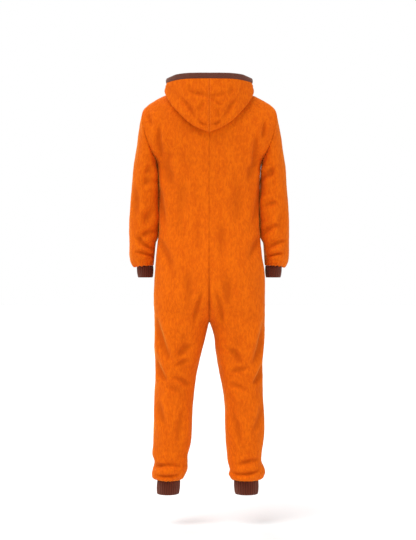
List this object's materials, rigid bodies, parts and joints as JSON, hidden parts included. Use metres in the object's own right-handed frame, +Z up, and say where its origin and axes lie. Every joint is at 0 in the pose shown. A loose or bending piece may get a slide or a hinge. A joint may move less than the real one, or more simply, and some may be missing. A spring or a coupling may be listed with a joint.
{
  "type": "hooded fleece jumpsuit",
  "caption": "Worn one-piece fleece jumpsuit, hollow, with the hood lying on the back, rib cuffs at wrists and ankles, and a front zip with a swinging pull tab.",
  "frame": {"origin": "the point between the wearer's shoulders, at the height of the shoulder tops, where the garment is held", "axes": "+Z up, front of the garment to -Y, wearer's left to +X"},
  "size_m": [0.578, 0.2925, 1.4917],
  "materials": {
    "fleece": "short brushed fleece pile, orange",
    "rib_knit": "matt rib knit, dark brown",
    "zip_tape": "woven tape, dark brown",
    "zip_teeth": "moulded, dark brown",
    "zip_metal": "dark plated metal"
  },
  "bodies": {
    "garment": {"back_left": "fleece", "back_right": "fleece", "front_left": "fleece", "front_right": "fleece", "sleeve_left": "fleece", "sleeve_right": "fleece", "hood_left": "fleece", "hood_right": "fleece", "hood_band": "rib_knit", "wrist_cuff_left": "rib_knit", "wrist_cuff_right": "rib_knit", "ankle_cuff_left": "rib_knit", "ankle_cuff_right": "rib_knit", "zip_tape_left": "zip_tape", "zip_tape_right": "zip_tape", "zip_chain": "zip_teeth", "zip_slider": "zip_metal"},
    "pull_tab": {"zip_pull": "zip_metal"}
  },
  "joints": [
    {"name": "pull_swing", "type": "hinge", "parent": "garment", "child": "pull_tab", "pos_m": [0, -0.10166, -0.05924], "axis": [-1, 0, 0], "range_deg": [0, 150]}
  ]
}
